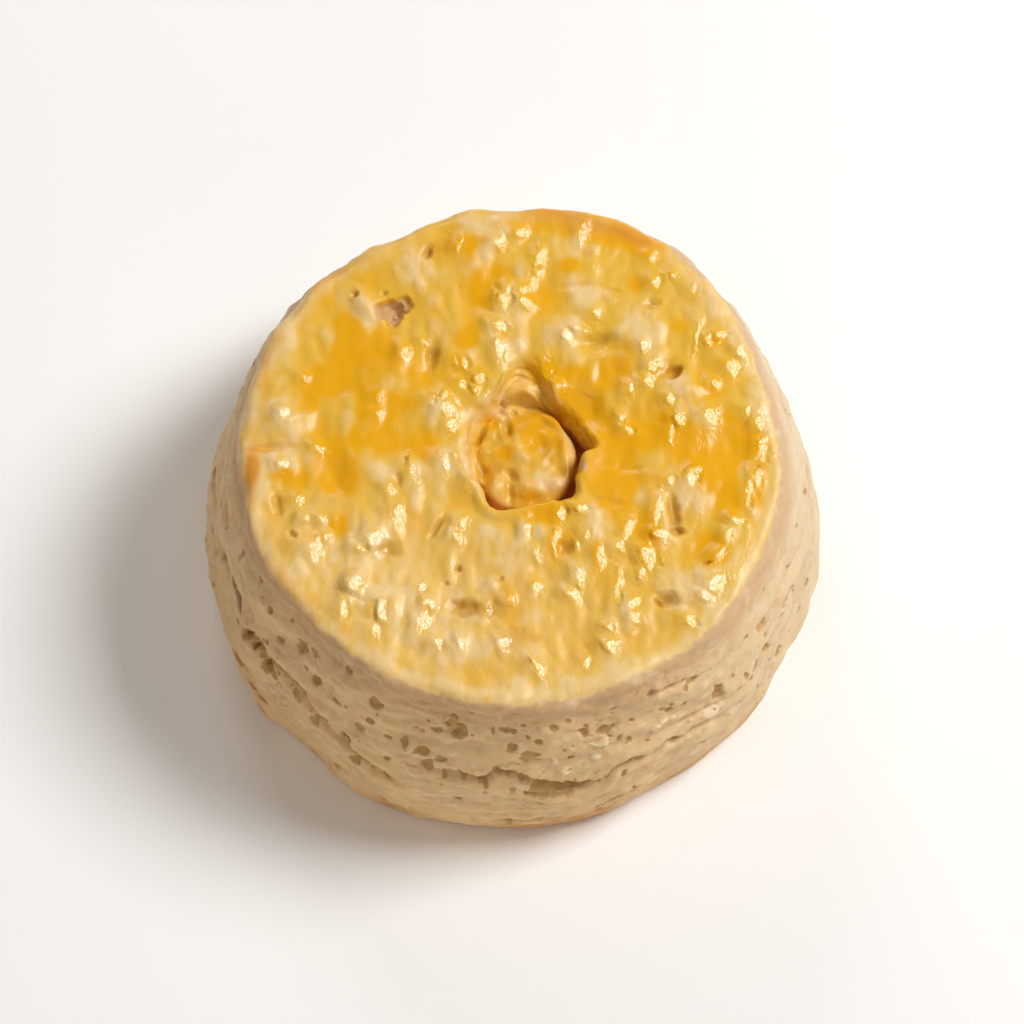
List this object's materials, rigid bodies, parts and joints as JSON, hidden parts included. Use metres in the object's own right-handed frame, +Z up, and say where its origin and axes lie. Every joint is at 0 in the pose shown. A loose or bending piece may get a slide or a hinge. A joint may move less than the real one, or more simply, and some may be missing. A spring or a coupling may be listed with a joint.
{
  "type": "glazed round biscuit",
  "caption": "Thick round baked biscuit, egg glazed on top, with a cut ring round a sunken plug in the middle and a split, crumbly side. Prop food that rests flat.",
  "frame": {"origin": "middle of the flat underside, under the middle of the bounding box", "axes": "+Z up out of the glazed top, -Y towards the viewer of the reference picture"},
  "size_m": [0.068, 0.0689, 0.0289],
  "materials": {
    "glazed_dough": "baked dough, glossy egg glaze on top, matt pale crumb at the side"
  },
  "bodies": {
    "root": {"biscuit": "glazed_dough"}
  },
  "joints": []
}
